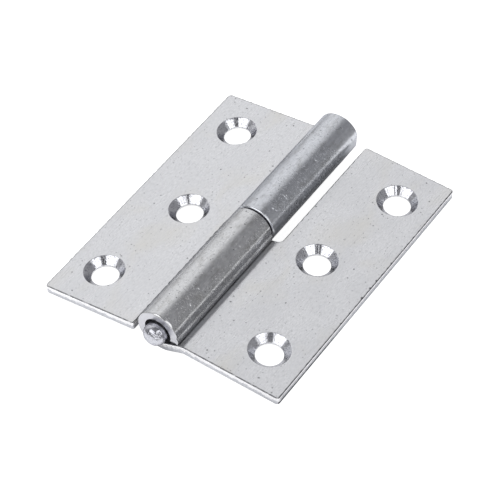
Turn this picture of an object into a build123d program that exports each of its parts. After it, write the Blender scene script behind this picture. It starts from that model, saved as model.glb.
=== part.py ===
from build123d import *
from math import asin, atan2, cos, hypot, isclose, radians, sin, tan
import os

# Lift-off hinge: two rolled steel leaves on one pin. All sizes in mm.
# The pin axis runs along Y. The door leaf's knuckle is at the near end (low Y), the frame leaf's at the
# far end. Each leaf is drawn in its own frame: first number outward from the pin axis, second number
# along the pin from that leaf's own knuckle end, third number up from the pin axis.

# Leaves
leaf_length = 75.0
leaf_reach = 32.0              # pin axis to the outer edge
sheet = 2.1
corner_radius = 0.8            # outer corners of each leaf
axis_above_leaf = 1.05         # pin axis above the countersunk face

# Knuckles
door_knuckle_length = 38.0
knuckle_gap = 0.5              # between the two knuckles
door_notch_reach = 7.6         # pin axis to the cut edge beside the other leaf's knuckle
frame_notch_reach = 7.1
notch_radius = 1.2
knuckle_edge_radius = 0.3      # outer edge of a knuckle's ends
mouth_lead = 0.3               # widening of a knuckle's bore at its ends
outer_mouth_length = 1.5       # length of that widening at the leaf's own knuckle end

# Joggle from the flat leaf down to the roll, sizes on the countersunk face
joggle_angle = 24.0
joggle_start = 1.44            # pin axis to the corner of the lower bend
bend_inside_radius = 1.45

# Free end of the roll
roll_end_angle = 0.0           # where the roll turns into its straight end
roll_end_gap = 0.12            # between the free end and the joggle under it

# Pin
pin_radius = 3.15
running_clearance = 0.08       # radial, pin in both knuckles
pin_protrusion = 3.0           # past the door knuckle
pin_inset = 0.5                # pin's far end inside the frame knuckle
pin_nose_radius = 2.0          # rounding of the nose
pin_neck_radius = 2.8          # slimmer near end of the pin, for finding the door knuckle's bore
pin_neck_length = 1.2          # how far it reaches into the door knuckle
pin_taper_length = 0.8
pin_far_chamfer = 0.3

# Crimp on the frame knuckle's far end
crimp_length = 5.0
crimp_depth = 0.45
crimp_angle = 195.0            # round the pin axis, from the frame leaf's outward direction

# Countersunk screw holes
screw_hole_radius = 3.25
countersink_radius = 4.92
countersink_angle = 90.0
end_hole_reach = 22.8
end_hole_inset = 10.5          # from either end of the leaf
middle_hole_reach = 17.35
middle_hole_station = 38.4     # from the leaf's own knuckle end

bore_radius = pin_radius + running_clearance
knuckle_radius = bore_radius + sheet
frame_knuckle_length = leaf_length - door_knuckle_length - knuckle_gap
back_below_axis = axis_above_leaf + sheet
joggle_slope = tan(radians(joggle_angle))
half_joggle_slope = tan(radians(joggle_angle) / 2)
joggle_end = joggle_start + (bore_radius - axis_above_leaf) / joggle_slope

# The hinge lies on a table. Both leaves slope down from the knuckles until their outer edges touch, and
# each knuckle stands on the outside of its lower joggle bend.
lower_bend_start = joggle_start - bend_inside_radius * half_joggle_slope
lower_bend_radius = bend_inside_radius + sheet
lever = leaf_reach - lower_bend_start
rise = back_below_axis - bore_radius + bend_inside_radius
rest_tilt = asin(lower_bend_radius / hypot(lever, rise)) - atan2(rise, lever)
axis_height = leaf_reach * sin(rest_tilt) + back_below_axis * cos(rest_tilt)

# The origin is on the table, under the middle of the whole length with the pin's nose.
near_end = (pin_protrusion - leaf_length) / 2
far_end = near_end + leaf_length

door_side = Plane(
    origin=(0, near_end, axis_height),
    x_dir=(cos(rest_tilt), 0, -sin(rest_tilt)),
    z_dir=(sin(rest_tilt), 0, cos(rest_tilt)),
)
frame_side = Plane(
    origin=(0, far_end, axis_height),
    x_dir=(-cos(rest_tilt), 0, -sin(rest_tilt)),
    z_dir=(-sin(rest_tilt), 0, cos(rest_tilt)),
)


def across(side):
    """Plane across the strip at the leaf's own knuckle end, facing away from the leaf."""
    return Plane(origin=side.origin, x_dir=side.x_dir, z_dir=-side.y_dir)


def free_end_length():
    """Length of the roll's straight end, down to the gap above the joggle's sloping face."""
    end = radians(roll_end_angle)
    face = roll_end_gap - bore_radius + joggle_slope * (knuckle_radius * cos(end) - joggle_start)
    return (knuckle_radius * sin(end) - face) / (cos(end) + joggle_slope * sin(end))


def leaf_face(depth):
    """Line of the sheet's face, depth below the countersunk one, from the outer edge to under the pin."""
    shift = depth * half_joggle_slope
    line = FilletPolyline(
        (leaf_reach, -axis_above_leaf - depth),
        (joggle_end + shift, -axis_above_leaf - depth),
        (joggle_start + shift, -bore_radius - depth),
        (0, -bore_radius - depth),
        radius=[bend_inside_radius + sheet - depth, bend_inside_radius + depth],
    )
    return line @ 0, line @ 1


def roll_face(depth):
    """Line of the same face on from there, round the pin and down the straight free end."""
    roll = CenterArc((0, 0), bore_radius + depth, -90, roll_end_angle - 270)
    tail = Line(roll @ 1, roll @ 1 + (roll % 1) * free_end_length())
    return roll @ 0, tail @ 1


def sheet_section(face):
    """Section of the sheet between its two faces, seen from the leaf's own knuckle end."""
    with BuildSketch() as section:
        with BuildLine():
            upper = face(0)
            lower = face(sheet)
            Line(upper[0], lower[0])
            Line(upper[1], lower[1])
        make_face()
    return section.sketch


def leaf_outline(knuckle_length, notch_reach):
    """The leaf seen from above, cut back beside the other leaf's knuckle."""
    with BuildSketch() as outline:
        Rectangle(leaf_reach, leaf_length, align=(Align.MIN, Align.MIN))
        fillet(outline.vertices().group_by(Axis.X)[-1], radius=corner_radius)
        with Locations((0, knuckle_length)):
            Rectangle(
                notch_reach,
                leaf_length - knuckle_length,
                align=(Align.MIN, Align.MIN),
                mode=Mode.SUBTRACT,
            )
        notch_corner = outline.vertices().sort_by_distance((notch_reach, knuckle_length))[0]
        fillet(notch_corner, radius=notch_radius)
    return outline.sketch


def rolled_knuckle(side, knuckle_length):
    """The sheet rolled round the pin, with both ends of the roll eased."""
    with BuildPart() as knuckle:
        with BuildSketch(across(side)):
            add(sheet_section(roll_face))
        extrude(amount=-knuckle_length)
        rims = knuckle.edges().filter_by(GeomType.CIRCLE)
        fillet(rims.filter_by(lambda rim: isclose(rim.radius, knuckle_radius)), radius=knuckle_edge_radius)
    return knuckle.part


def screw_holes(side):
    """The three countersunk holes of the leaf on the given side."""
    with Locations(side.offset(-axis_above_leaf)):
        with Locations(
            (end_hole_reach, end_hole_inset),
            (middle_hole_reach, middle_hole_station),
            (end_hole_reach, leaf_length - end_hole_inset),
        ):
            CounterSinkHole(screw_hole_radius, countersink_radius, counter_sink_angle=countersink_angle)


def bore_mouths(side, knuckle_length):
    """Widened mouths at both ends of the knuckle's bore."""
    outer = Plane(origin=side.origin, x_dir=side.x_dir, z_dir=side.y_dir)
    inner = outer.offset(knuckle_length).rotated((180, 0, 0))
    for mouth, length in ((outer, outer_mouth_length), (inner, mouth_lead)):
        with Locations(mouth):
            Cone(
                bottom_radius=bore_radius + mouth_lead,
                top_radius=bore_radius,
                height=length,
                align=(Align.CENTER, Align.CENTER, Align.MIN),
                mode=Mode.SUBTRACT,
            )


with BuildPart() as door_leaf:
    with BuildSketch(across(door_side)):
        add(sheet_section(leaf_face))
    extrude(amount=-leaf_length)
    with BuildSketch(door_side):
        add(leaf_outline(door_knuckle_length, door_notch_reach))
    extrude(amount=2 * knuckle_radius, both=True, mode=Mode.INTERSECT)
    add(rolled_knuckle(door_side, door_knuckle_length))
    screw_holes(door_side)
    bore_mouths(door_side, door_knuckle_length)
door_leaf.part.label = "door_leaf"

with BuildPart() as frame_leaf:
    with BuildSketch(across(frame_side)):
        add(sheet_section(leaf_face))
    extrude(amount=-leaf_length)
    with BuildSketch(frame_side):
        add(leaf_outline(frame_knuckle_length, frame_notch_reach))
    extrude(amount=2 * knuckle_radius, both=True, mode=Mode.INTERSECT)
    add(rolled_knuckle(frame_side, frame_knuckle_length))
    screw_holes(frame_side)
    bore_mouths(frame_side, frame_knuckle_length)
    with BuildSketch(frame_side.rotated((0, -crimp_angle, 0))):
        Polygon(
            (knuckle_radius - crimp_depth, 0),
            (knuckle_radius + crimp_depth, 0),
            (knuckle_radius, crimp_length),
            align=None,
        )
    extrude(amount=knuckle_radius, both=True, mode=Mode.SUBTRACT)
frame_leaf.part.label = "frame_leaf"

with BuildPart() as hinge_pin:
    along_pin = Plane(origin=(0, near_end, axis_height), x_dir=(0, 1, 0), z_dir=(1, 0, 0))
    with BuildSketch(along_pin) as half_section:
        with BuildLine():
            Polyline(
                (-pin_protrusion, 0),
                (-pin_protrusion, pin_neck_radius),
                (pin_neck_length, pin_neck_radius),
                (pin_neck_length + pin_taper_length, pin_radius),
                (leaf_length - pin_inset, pin_radius),
                (leaf_length - pin_inset, 0),
                close=True,
            )
        make_face()
        nose = half_section.vertices().sort_by_distance((-pin_protrusion, pin_neck_radius))[0]
        fillet(nose, radius=pin_nose_radius)
        pin_end = half_section.vertices().sort_by_distance((leaf_length - pin_inset, pin_radius))[0]
        chamfer(pin_end, length=pin_far_chamfer)
    revolve(axis=Axis(along_pin.origin, along_pin.x_dir))
hinge_pin.part.label = "hinge_pin"

os.makedirs("parts", exist_ok=True)
export_step(door_leaf.part, "parts/door_leaf.step")
export_step(frame_leaf.part, "parts/frame_leaf.step")
export_step(hinge_pin.part, "parts/hinge_pin.step")
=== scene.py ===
# %% [markdown]
# # A lift-off hinge of zinc-plated steel
#
# The real hinge is two strips of 2.1 mm steel, each bent down and rolled round a pin, with the screw holes
# countersunk after that and the whole of it zinc plated. This lesson builds it in the order of the
# workshop: a flat blank is cut, its edges are worn round, it is bent and rolled, and then it is plated.
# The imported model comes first, because every piece has to sit exactly where its solid sits.

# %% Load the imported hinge
import math

import bpy
import numpy as np
from mathutils import Matrix, Vector, kdtree
from mathutils.geometry import delaunay_2d_cdt


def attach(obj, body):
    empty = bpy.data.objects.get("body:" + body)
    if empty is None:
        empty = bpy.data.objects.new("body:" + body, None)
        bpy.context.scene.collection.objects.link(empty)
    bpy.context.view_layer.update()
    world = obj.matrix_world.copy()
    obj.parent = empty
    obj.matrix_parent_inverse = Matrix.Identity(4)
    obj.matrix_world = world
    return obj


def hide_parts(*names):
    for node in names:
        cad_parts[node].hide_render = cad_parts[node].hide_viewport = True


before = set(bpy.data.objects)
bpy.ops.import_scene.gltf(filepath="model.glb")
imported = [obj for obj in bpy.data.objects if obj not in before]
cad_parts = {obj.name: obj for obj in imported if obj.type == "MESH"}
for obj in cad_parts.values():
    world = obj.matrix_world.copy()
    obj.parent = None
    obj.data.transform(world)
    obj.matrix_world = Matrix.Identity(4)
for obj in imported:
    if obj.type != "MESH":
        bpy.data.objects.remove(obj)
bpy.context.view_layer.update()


# %% [markdown]
# ## Sizes
#
# All sizes are in millimetres, as on a drawing of the hinge, and are turned to metres only when a mesh is
# made. The leaves lie on the table at a small angle: the knuckles are lower than the leaves, so each leaf
# slopes down until its outer edge touches. That angle and the pin's height follow from the section.

# %% Sizes of the hinge
leaf_length, leaf_reach, sheet = 75.0, 32.0, 2.1
axis_above_leaf = 1.05
pin_radius, bore_radius = 3.15, 3.23
knuckle_radius = bore_radius + sheet
near_end, far_end = -36.0, 39.0
joggle_angle, joggle_start, bend_inside = math.radians(24), 1.44, 1.45
joggle_end = joggle_start + (bore_radius - axis_above_leaf) / math.tan(joggle_angle)
roll_end_gap = 0.12  # between the free end and the joggle under it
free_end = bore_radius - roll_end_gap - math.tan(joggle_angle) * (knuckle_radius - joggle_start)

lever = leaf_reach - (joggle_start - bend_inside * math.tan(joggle_angle / 2))
rise = axis_above_leaf + sheet - bore_radius + bend_inside
rest_tilt = math.asin((bend_inside + sheet) / math.hypot(lever, rise)) - math.atan2(rise, lever)
axis_height = leaf_reach * math.sin(rest_tilt) + (axis_above_leaf + sheet) * math.cos(rest_tilt)
print("leaves slope", round(math.degrees(rest_tilt), 2), "degrees")
print("pin axis", round(axis_height, 3), "mm above the table")

# %% [markdown]
# ## From the flat blank to the bent leaf
#
# A sheet keeps its thickness when it is bent, so the leaf is described as a flat blank: s runs from the
# outer edge towards the pin, y runs along the pin from the leaf's own knuckle end, and d goes through the
# sheet from the countersunk face to the back. Seven runs, straight or curved, carry the blank down the
# joggle and round the pin. Modelling it flat and then bending it keeps holes, edges and grain in place,
# which carving them into a bent solid would not.

# %% The seven runs of the bend
half_joggle = math.tan(joggle_angle / 2)
runs = (
    (leaf_reach - joggle_end - (bend_inside + sheet) * half_joggle, 0.0),
    ((bend_inside + sheet) * joggle_angle, 1 / (bend_inside + sheet)),
    ((joggle_end - joggle_start) / math.cos(joggle_angle) - (2 * bend_inside + sheet) * half_joggle, 0.0),
    (bend_inside * joggle_angle, -1 / bend_inside),
    (joggle_start - bend_inside * half_joggle, 0.0),
    (bore_radius * math.radians(270), -1 / bore_radius),
    (free_end, 0.0),
)
flat_end = runs[0][0]
roll_start = sum(length for length, curve in runs[:5])
blank_width = sum(length for length, curve in runs)
print("blank", round(blank_width, 2), "mm wide, roll starts at", round(roll_start, 2), "mm")

# %% [markdown]
# ## Bending the blank
#
# A point is bent by walking the runs from the outer edge on. Each run starts at the place and heading where
# the one before it ended, and the depth is set off at right angles, so both faces stay parallel. A bend
# modifier makes one bend, and three of them in a row would each have to be placed by hand. The leaf is then
# turned to its slope and laid on the table.

# %% Bend and lay down
def bend(s, d):
    """Across and up, from the pin axis, of points of the blank once it is bent."""
    across, up = np.empty_like(s), np.empty_like(s)
    x, z, heading, done = leaf_reach, -axis_above_leaf, math.pi, 0.0
    for length, curve in runs:
        here = (s >= done) | (done == 0)  # the points of later runs too, which those runs overwrite
        along = s[here] - done
        turned = heading + along * curve
        if curve:
            px = x + (np.sin(turned) - math.sin(heading)) / curve
            pz = z - (np.cos(turned) - math.cos(heading)) / curve
        else:
            px, pz = x + along * math.cos(heading), z + along * math.sin(heading)
        across[here] = px - d[here] * np.sin(turned)
        up[here] = pz + d[here] * np.cos(turned)
        end = heading + length * curve
        if curve:
            x += (math.sin(end) - math.sin(heading)) / curve
            z -= (math.cos(end) - math.cos(heading)) / curve
        else:
            x, z = x + length * math.cos(heading), z + length * math.sin(heading)
        heading, done = end, done + length
    return across, up


def lay_down(leaf, across, y, up):
    """Row-frame metres for points in a leaf's own frame, with the leaf lying on the table."""
    outward = across * math.cos(rest_tilt) + up * math.sin(rest_tilt)
    height = axis_height - across * math.sin(rest_tilt) + up * math.cos(rest_tilt)
    if leaf == "frame_leaf":
        return np.stack([-outward, far_end - y, height], 1) / 1000
    return np.stack([outward, near_end + y, height], 1) / 1000


edge_across, edge_up = bend(np.zeros(1), np.array([sheet]))
edge_height = lay_down("door_leaf", edge_across, np.zeros(1), edge_up)[0, 2]
print("lower corner of the outer edge", round(1000 * abs(edge_height), 4), "mm from the table")

# %% [markdown]
# ## The cut outline
#
# The press cuts each blank with a step in it: the wide part is the leaf, the long tongue becomes the
# knuckle. The outline is a list of corners with radii, walked with the metal on the left. Points along it
# fall on the same lines as the inside of the mesh, which keeps the triangles even. The lines lie closer on
# the roll, and closest beside its free end, where the surface changes fastest.

# %% Outline of a blank
lip_start = blank_width - free_end - 0.75  # where the groove beside the free end begins
s_lines = np.concatenate([
    np.arange(0.5, flat_end, 0.5), np.arange(flat_end, roll_start, 0.2),
    np.arange(roll_start, lip_start, 0.17), np.arange(lip_start, blank_width - 0.05, 0.06)])
y_lines = np.concatenate([np.arange(0.31, 0.7, 0.13), np.arange(0.7, leaf_length, 0.35)])
least_step = 0.08  # between a corner and the next line
corner_points = 7


def outline(corners):
    """Closed outline through corners (s, y, radius): its points and the direction into the metal."""
    points, inward = [], []
    places = [np.array(corner[:2]) for corner in corners]
    radii = [corner[2] for corner in corners]
    for i, place in enumerate(places):
        after_place = places[(i + 1) % len(places)]
        before = (place - places[i - 1]) / np.linalg.norm(place - places[i - 1])
        after = (after_place - place) / np.linalg.norm(after_place - place)
        turn = 1 if before[0] * after[1] - before[1] * after[0] > 0 else -1
        centre = place + radii[i] * (after - before)
        for angle in np.linspace(0, math.pi / 2, corner_points):
            points.append(centre + radii[i] * (before * math.sin(angle) - after * math.cos(angle)))
            inward.append(turn * (after * math.cos(angle) - before * math.sin(angle)))
        along = 0 if abs(after[0]) > 0.5 else 1
        lines = s_lines if along == 0 else y_lines
        goal = after_place - after * radii[(i + 1) % len(places)]
        low, high = sorted((points[-1][along], goal[along]))
        between = lines[(lines > low + least_step) & (lines < high - least_step)]
        for station in between if after[along] > 0 else between[::-1]:
            point = goal.copy()
            point[along] = station
            points.append(point)
            inward.append(turn_left(after))
    return np.array(points), np.array(inward)


def turn_left(direction):
    """Direction a quarter turn to the left."""
    return np.array([-direction[1], direction[0]])


print("lines across", len(s_lines), "and along", len(y_lines))

# %% [markdown]
# ## The two blanks
#
# Both leaves are cut in the same way, with other numbers: the door leaf's tongue is longer, and more is cut
# away beside it. Written as data, they go through the same functions. The dents that handling left on the
# rolls are few and can be told apart, so they are listed one by one.

# %% The two blanks
def blank_corners(knuckle_length, notch_reach):
    """Corners of a blank: place across and along, and radius."""
    notch = leaf_reach - notch_reach
    return [(0, 0, 0.8), (blank_width, 0, 0.4), (blank_width, knuckle_length, 0.6),
            (notch, knuckle_length, 1.2), (notch, leaf_length, 0.5), (0, leaf_length, 0.8)]


# joint_rim rounds the knuckle's end at the joint, and bevel tells how flat that rounding is
leaves = {
    "door_leaf": {"body": "door", "knuckle": 38.0, "notch": 7.6,
                  "joint_rim": 0.32, "bevel": 0.0, "seed": 5},
    "frame_leaf": {"body": "frame", "knuckle": 36.5, "notch": 7.1,
                   "joint_rim": 0.31, "bevel": 0.7, "seed": 8},
}
# Dents on the rolls: angle round the pin, station, half length along, half width in degrees, depth
leaves["frame_leaf"]["dents"] = (
    (137, 28.8, 0.17, 8.0, 0.09), (134, 28.2, 0.14, 4.0, 0.06), (131, 33.5, 0.15, 3.6, 0.07),
    (140, 33.2, 0.15, 3.2, 0.07), (143, 31.5, 0.14, 2.6, 0.06), (130, 15.2, 0.15, 3.2, 0.07),
    (141, 21.2, 0.14, 3.0, 0.06), (132, 23.2, 0.14, 2.6, 0.05), (161, 17.0, 0.18, 2.6, 0.05))
leaves["door_leaf"]["dents"] = (
    (65, 27.5, 0.16, 3.4, 0.07), (54, 27.8, 0.14, 3.0, 0.06), (34, 29.0, 0.15, 3.0, 0.06),
    (52, 30.2, 0.13, 2.6, 0.05), (96, 29.2, 0.20, 2.6, 0.06), (60, 12.0, 0.15, 3.0, 0.06),
    (48, 7.5, 0.14, 3.4, 0.06))
for name, leaf in leaves.items():
    leaf["corners"] = blank_corners(leaf["knuckle"], leaf["notch"])
    print(name, "outline points", len(outline(leaf["corners"])[0]))

# %% [markdown]
# ## Edges of the sheet
#
# A sheared edge is never square. The punch draws the face over at one side and breaks the metal at the
# other, and tumbling before plating takes the sharpness off. Each point of the outline gets two rounding
# sizes, one for each face. Only at the joint are the knuckles' ends eased more, and there the far one's rim
# is nearly a flat bevel, which catches the light as a bright ring. A bevel modifier would round all edges
# alike, so the rounding is built in rows of points that run round the cut.

# %% Rounding along the outline
def ramp(value, start, end):
    """0 before start, 1 after end, smooth between them."""
    t = np.clip((value - start) / (end - start), 0, 1)
    return t * t * (3 - 2 * t)


# The rounding is less where the face is rolled into the inside of the bore
face_rounding, less_in_bore, back_rounding = 0.27, 0.17, 0.14
joint_zone = 0.45  # how near the joint a point of the outline counts as its end


def rim_sizes(leaf, points):
    """For each point of the outline: rounding at the face and at the back, bevel, and share on the roll."""
    s, y = points[:, 0], points[:, 1]
    before_end = 1 - ramp(s, blank_width - 2.6, blank_width - 1.3)
    on_roll = ramp(s, roll_start - 1.0, roll_start + 1.0) * before_end
    at_joint = np.abs(y - leaf["knuckle"]) < joint_zone
    inner = face_rounding - less_in_bore * on_roll
    outer = back_rounding + on_roll * np.where(at_joint, leaf["joint_rim"] - back_rounding, 0.0)
    return inner, outer, leaf["bevel"] * on_roll * at_joint, on_roll


print("rounding in mm at the face", face_rounding, "and at the back", back_rounding)

# %% [markdown]
# ## Rows round the cut
#
# Between the two roundings lies the cut itself, smooth at first and then torn. It gets four rows of points,
# and seeded waves move them in and out along the edge by some hundredths of a millimetre. Bump alone would
# roughen the cut but leave its outline dead straight.

# %% Rows round the cut
def wander(along, seed, size, count=6):
    """Smooth seeded unevenness along an edge, about 1 high, with features of the given size."""
    draw = np.random.default_rng(seed)
    total = np.zeros_like(along)
    for k in range(count):
        total += np.sin(along * (2 * math.pi / (size * draw.uniform(0.6, 1.7))) + draw.uniform(0, 7))
    return total / math.sqrt(count / 2) / 1.5


hold = 0.06  # flat strip beside a rounding, which keeps the face flat when it is shaded smooth
# Torn cut: share of the way from one rounding to the other, depth and size of its unevenness
torn_rows = ((0.22, 0.035, 0.9), (0.45, 0.045, 0.8), (0.62, 0.02, 1.6), (0.82, 0.008, 3.0))


def rim_rows(leaf, points, inward):
    """Rows of blank points from the countersunk face round the cut edge to the back."""
    inner, outer, bevel, on_roll = rim_sizes(leaf, points)
    along = np.concatenate([[0], np.cumsum(np.linalg.norm(np.diff(points, axis=0), axis=1))])
    inner = np.minimum(inner * (1 + 0.30 * wander(along, leaf["seed"], 1.9)), 0.38)
    outer = outer * (1 + 0.10 * wander(along, leaf["seed"] + 1, 2.6))
    rows = [(inner + hold, 0 * inner)]
    for angle in np.radians([0, 25, 50, 72, 90]):
        rows.append((inner * (1 - math.sin(angle)), inner * (1 - math.cos(angle))))
    for share, depth, size in torn_rows:
        broken = depth * (0.6 + wander(along, leaf["seed"] + int(share * 100), size)) * (1 - 0.8 * on_roll)
        rows.append((np.clip(broken, -0.02, 0.1), inner + share * (sheet - inner - outer)))
    for angle in np.radians([90, 75, 60, 45, 30, 15, 0]):
        straight = 1 - angle / math.radians(90)
        inset = outer * ((1 - bevel) * (1 - math.sin(angle)) + bevel * straight)
        rows.append((inset, sheet - outer * ((1 - bevel) * (1 - math.cos(angle)) + bevel * (1 - straight))))
    rows.append((outer + hold, np.full_like(outer, sheet)))
    return [np.column_stack([points + inward * inset[:, None], depth]) for inset, depth in rows]


for name, leaf in leaves.items():
    print(name, "rows round the cut", len(rim_rows(leaf, *outline(leaf["corners"]))))

# %% [markdown]
# ## Countersunk holes
#
# The countersinks are turned into the punched holes with a 90 degree cutter that chattered: the cone
# carries fine radial flutes, which break its mirror finish into light and dark streaks. Rings of points
# follow the cone down to a short straight land, and the flutes are real waves in it.

# %% Rings of a countersunk hole
hole_radius, sink_radius = 3.25, 4.92
end_hole, end_inset = leaf_reach - 22.8, 10.5
hole_places = ((end_hole, end_inset), (leaf_reach - 17.35, 38.4), (end_hole, leaf_length - end_inset))
around = np.linspace(0, 2 * math.pi, 145)[:-1]
flute_counts, flute_depth = (13, 17, 22, 29, 37), 0.020
# Section of a hole: radius, depth, and how much of the flutes it shows
cone_rows = [(r, sink_radius - r, 1.0) for r in np.linspace(sink_radius - 0.12, hole_radius + 0.05, 7)]
hole_section = [
    (sink_radius + 0.16, 0.0, 0), (sink_radius + 0.05, 0.0, 0), (sink_radius, 0.02, 0.3),
    (sink_radius - 0.05, 0.06, 0.7), *cone_rows, (hole_radius + 0.01, sink_radius - hole_radius, 0.8),
    (hole_radius, 1.73, 0), (hole_radius, 1.86, 0), (hole_radius + 0.01, 2.0, 0),
    (hole_radius + 0.05, 2.07, 0), (hole_radius + 0.11, sheet, 0), (hole_radius + 0.25, sheet, 0)]


def hole_rings(place, seed):
    """Rings of blank points from the countersunk face down through the hole to the back."""
    draw = np.random.default_rng(seed)
    flutes = sum(draw.uniform(0.4, 1) * np.sin(n * around + draw.uniform(0, 7)) for n in flute_counts) / 2
    across, along = np.cos(around), np.sin(around)
    return [np.column_stack([place[0] + r * across, place[1] + r * along, d + share * flute_depth * flutes])
            for r, d, share in hole_section]


print("rings per hole", len(hole_rings(hole_places[0], 1)))

# %% [markdown]
# ## Marks of rolling, crimping and handling
#
# The roll isn't a perfect tube. It is a little wavy all over. The near knuckle is flattened where its roll
# turns into the free end, with a groove beside that flat, its bore opens to one side at the mouth, and its
# rim is crushed in three places. The far knuckle is a little out of round and is pressed flat on one side
# at its end, softly, to grip the pin. Both carry small dents. All of these are moves of the sheet's
# surface in or out before it is bent, so they follow the metal wherever it goes.

# %% Waves and the near knuckle's marks
tilt = math.degrees(rest_tilt)
# The flat beside the free end: degrees past the end of the roll, and how far out it stands
facet_turns = [-50, -35, -4.5, -3, 0, 3.5, 5, 8]
facet_stands = [0, 0.08, 0.135, 0.057, -0.088, -0.23, -0.215, 0]
# Crushed places of the near rim: angle, half width in degrees, reach along the pin, depth
crushed_places = ((52, 10, 0.44, 0.19), (87, 12, 0.36, 0.36), (122, 6, 0.2, 0.08))
# The near mouth: how far it is opened all round, how much more or less to one side, and that side's angle
mouth_length = 1.5
mouth_opening, mouth_lean, mouth_side = 0.11, 0.09, 150


def roll_angle(s):
    """Angle round the pin, from the leaf's outward direction, of a place on the roll."""
    return np.degrees(-(s - roll_start) / bore_radius) - 90


def near_angle(s, angle):
    """Difference in degrees between a place on the roll and an angle round the pin."""
    return (roll_angle(s) - angle + 180) % 360 - 180


def waves(s, y):
    """Long and short waves of a roll's outside."""
    turn = (s - roll_start) / bore_radius
    long_wave = 0.014 * np.sin(y / 5.3 + 1.0) * np.sin(2.3 * turn + y / 17)
    short_wave = 0.008 * np.sin(y / 1.9 + np.sin(y / 4.1)) * np.sin(5 * turn)
    return long_wave + short_wave


def near_marks(s, y, outside):
    """Flat, opened mouth and crushed rim of the door leaf's knuckle."""
    unsteady = 0.5 * np.sin(y / 3) + 0.3 * np.sin(y / 0.9)
    moved = outside * np.interp(near_angle(s, tilt + unsteady), facet_turns, facet_stands)
    opened = mouth_opening + mouth_lean * np.cos(np.radians(near_angle(s, mouth_side + tilt)))
    moved += (1 - outside) * np.clip(1 - y / mouth_length, 0, 1) * opened
    for centre, width, reach, depth in crushed_places:
        crushed = np.exp(-(near_angle(s, centre + tilt) / width) ** 6)
        moved -= outside * crushed * depth * np.clip(1 - y / reach, 0, 1)
    return moved


print("roll turns from", round(float(roll_angle(roll_start))), "to",
      round(float(roll_angle(blank_width - free_end))), "degrees")

# %% [markdown]
# ## The far knuckle's crimp and the dents
#
# The crimp is a flat pressed deeper towards the knuckle's end. Its borders are rolled over, not cut, so the
# flat is blended into the round with a soft minimum. A plain minimum would leave a crease that the real
# sheet doesn't have.

# %% The far knuckle's marks and the dents
crimp_angle, crimp_depth, crimp_length, crimp_softness = 188, 0.36, 5.0, 0.07
swell_start, swell_height = 99, 0.10  # where the far roll starts to stand out, and by how much
far_mouth_opening = 0.3


def far_marks(s, y, outside):
    """Widened mouth, swelling and crimp of the frame leaf's knuckle."""
    moved = (1 - outside) * far_mouth_opening * np.clip(1 - y / mouth_length, 0, 1)
    past = near_angle(s, swell_start)
    moved += swell_height * outside * (ramp(past, 0, 25) - ramp(past, 25, 110))
    off_crimp = np.radians(np.clip(near_angle(s, crimp_angle), -60, 60))
    flat = knuckle_radius - crimp_depth * (1 - y / crimp_length)
    clear = flat / np.cos(off_crimp) - knuckle_radius
    pressed_in = crimp_softness * np.log1p(np.exp(-clear / crimp_softness))
    return moved - outside * np.where(y < crimp_length, pressed_in, 0)


def pressed(name, s, y, d):
    """How far handling and the press moved the surface away from the pin."""
    outside = d / sheet
    rolled = ramp(s, roll_start - 0.3, roll_start + 0.6)
    marks = near_marks if name == "door_leaf" else far_marks
    moved = rolled * (outside * waves(s, y) + marks(s, y, outside))
    for turn, station, long, wide, depth in leaves[name]["dents"]:
        dent = ((near_angle(s, turn) + 5 * (y - station)) / wide) ** 2 + ((y - station) / long) ** 2
        moved -= outside * rolled * depth * np.exp(-dent)
    return moved


print("dents", {name: len(leaf["dents"]) for name, leaf in leaves.items()})

# %% [markdown]
# ## Skinning the blank
#
# The two faces of the sheet are filled with a constrained Delaunay triangulation: the cut outline and the
# holes are fixed edges, and a grid of points inside gives the rolled part enough triangles to be round.
# A grid alone couldn't follow the holes, and one large polygon couldn't be bent. The dents get a grid of
# their own, fine enough to be round.

# %% Points inside a face
flat_step = 1.1  # of the grid on the flat leaf
dent_step_across, dent_step_along = 0.065, 0.055


def inside_points(leaf, face_depth):
    """Grid points inside the outline, fine on the roll and coarse on the flat leaf."""
    outside = face_depth > 0
    flat_s = np.arange(0.9, flat_end - 0.4, flat_step)
    flat_y = np.arange(0.9, leaf_length, flat_step)
    grid = [(s + 0.25 * (k % 2), y) for k, y in enumerate(flat_y) for s in flat_s]
    joggle = s_lines[(s_lines >= flat_end - 0.3) & (s_lines < roll_start)]
    rolled = s_lines[s_lines >= roll_start]
    if not outside:
        rolled = rolled[::2]
    for lines, step in ((joggle, 2), (rolled, 1 if outside else 3)):
        grid += [(s, y) for s in lines for y in y_lines[::step] if y < leaf["knuckle"]]
    for turn, station, long, wide, depth in leaf["dents"] if outside else ():
        middle = roll_start + bore_radius * math.radians((-90 - turn) % 360)
        reach = bore_radius * math.radians(2 * wide)
        grid += [(middle + across, station + along)
                 for across in np.arange(-reach, reach, dent_step_across)
                 for along in np.arange(-2.5 * long, 2.5 * long, dent_step_along)]
    notch = leaf_reach - leaf["notch"]
    return [(s, y) for s, y in grid if s < notch or y < leaf["knuckle"]]


print("points inside", {name: len(inside_points(leaf, sheet)) for name, leaf in leaves.items()})

# %% [markdown]
# ## One face of the sheet
#
# The triangulation fills the holes too, so triangles whose middle lies inside a hole are dropped. New
# points get the next numbers of the blank, and the old ones keep theirs, so the face closes with the cut
# edges and leaves no seam that would show in the plating.

# %% Triangles of one face
clear_of_rim = {"fine": 0.09, "coarse": 0.35, "hole": 0.4}  # least distance of a grid point from these


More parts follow.
